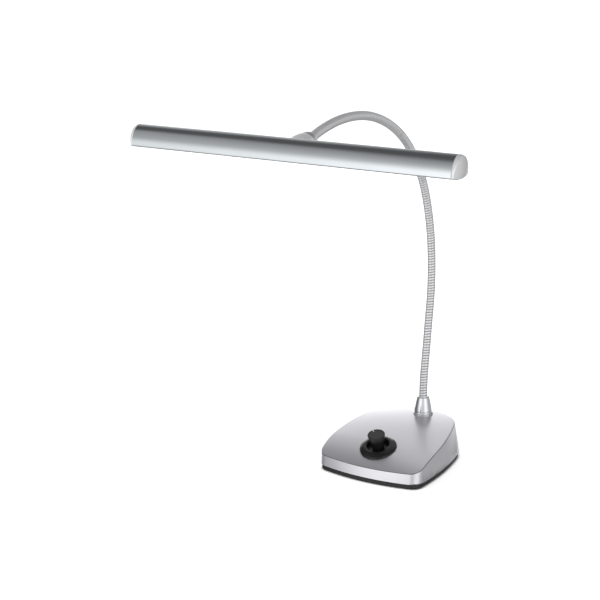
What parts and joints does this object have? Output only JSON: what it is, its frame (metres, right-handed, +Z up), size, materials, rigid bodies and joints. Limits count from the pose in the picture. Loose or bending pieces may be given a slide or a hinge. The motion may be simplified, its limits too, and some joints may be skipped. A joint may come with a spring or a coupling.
{
  "type": "piano lamp",
  "caption": "Desk or piano lamp with a weighted wedge-shaped base, a rotary dimmer knob, a bending ribbed metal neck and a long slim LED bar head.",
  "frame": {"origin": "on the floor under the anti-slip pad, in the middle of the width of the base, 74.7 mm behind its front edge", "axes": "+Z up; +Y towards the back of the base, where the neck stands; +X to the right, along the head"},
  "size_m": [0.3814, 0.3472, 0.446],
  "materials": {
    "base_paint": "silver grey paint, satin",
    "base_black": "black, fine grain",
    "foam_pad": "closed foam",
    "fastener": "zinc plated",
    "ballast": "dark primer",
    "circuit_board": "solder mask",
    "brass_fitting": "machined",
    "component_black": "moulded",
    "component_metal": "machined",
    "bezel_black": "black, satin",
    "knob_black": "black, satin",
    "pointer_white": "white inlay",
    "jack_black": "moulded",
    "collar_chrome": "polished",
    "neck_metal": "satin chrome",
    "neck_fitting": "satin chrome",
    "head_aluminium": "satin anodised",
    "head_cap": "silver grey paint",
    "head_boss": "silver grey paint",
    "diffuser": "opal",
    "led_board": "white coated",
    "led": "moulded"
  },
  "bodies": {
    "base": {"base_shell": "base_paint", "base_plate": "base_black", "anti_slip_pad": "foam_pad", "base_screws": "fastener", "ballast_plate": "ballast", "ballast_screws": "fastener", "driver_board": "circuit_board", "board_standoffs": "brass_fitting", "board_screws": "fastener", "board_parts": "component_black", "knob_bezel": "bezel_black", "dimmer_pot": "component_metal", "pot_nut": "fastener", "dc_jack": "jack_black", "jack_pin": "component_metal", "neck_collar": "collar_chrome", "neck_stud": "fastener", "stud_washer": "fastener", "stud_locknut": "fastener", "neck_root": "neck_metal"},
    "knob": {"dimmer_knob": "knob_black", "knob_pointer": "pointer_white", "pot_shaft": "component_metal"},
    "neck_1": {"neck_link_1": "neck_metal"},
    "neck_2": {"neck_link_2": "neck_metal"},
    "neck_3": {"neck_link_3": "neck_metal"},
    "neck_4": {"neck_link_4": "neck_metal"},
    "neck_5": {"neck_link_5": "neck_metal"},
    "neck_6": {"neck_link_6": "neck_metal"},
    "neck_7": {"neck_link_7": "neck_metal"},
    "neck_8": {"neck_link_8": "neck_metal", "neck_ferrule": "neck_fitting", "swivel_clip": "fastener"},
    "head": {"head_profile": "head_aluminium", "end_cap_left": "head_cap", "end_cap_right": "head_cap", "diffuser": "diffuser", "led_board": "led_board", "leds": "led", "head_boss": "head_boss", "boss_screws": "fastener"}
  },
  "joints": [
    {"name": "neck_bend_1", "type": "hinge", "parent": "base", "child": "neck_1", "pos_m": [0.0065, 0.0653, 0.07249], "axis": [1, 0, 0], "range_deg": [-15, 15]},
    {"name": "neck_bend_2", "type": "hinge", "parent": "neck_1", "child": "neck_2", "pos_m": [0.0065, 0.07364, 0.14242], "axis": [0, 0.9695, -0.2451], "range_deg": [-15, 15]},
    {"name": "neck_bend_3", "type": "hinge", "parent": "neck_2", "child": "neck_3", "pos_m": [0.0065, 0.08214, 0.21234], "axis": [1, 0, 0], "range_deg": [-15, 15]},
    {"name": "neck_bend_4", "type": "hinge", "parent": "neck_3", "child": "neck_4", "pos_m": [0.0065, 0.07546, 0.28259], "axis": [0, 0.9831, 0.1829], "range_deg": [-15, 15]},
    {"name": "neck_bend_5", "type": "hinge", "parent": "neck_4", "child": "neck_5", "pos_m": [0.0065, 0.0502, 0.34803], "axis": [1, 0, 0], "range_deg": [-15, 15]},
    {"name": "neck_bend_6", "type": "hinge", "parent": "neck_5", "child": "neck_6", "pos_m": [0.0065, 0.00332, 0.40028], "axis": [0, 0.614, 0.7893], "range_deg": [-15, 15]},
    {"name": "neck_bend_7", "type": "hinge", "parent": "neck_6", "child": "neck_7", "pos_m": [0.0065, -0.05946, 0.43136], "axis": [1, 0, 0], "range_deg": [-15, 15]},
    {"name": "neck_bend_8", "type": "hinge", "parent": "neck_7", "child": "neck_8", "pos_m": [0.0065, -0.12926, 0.44088], "axis": [0, 0.0127, 0.9999], "range_deg": [-15, 15]},
    {"name": "head_swivel", "type": "hinge", "parent": "neck_8", "child": "head", "pos_m": [0.0065, -0.21108, 0.42624], "axis": [0, -0.9506, -0.3105], "range_deg": [-45, 45]},
    {"name": "knob_turn", "type": "hinge", "parent": "base", "child": "knob", "pos_m": [0.0013, -0.0413, 0.03355], "axis": [0.0021, -0.2876, 0.9577], "range_deg": [-202, 98]}
  ]
}
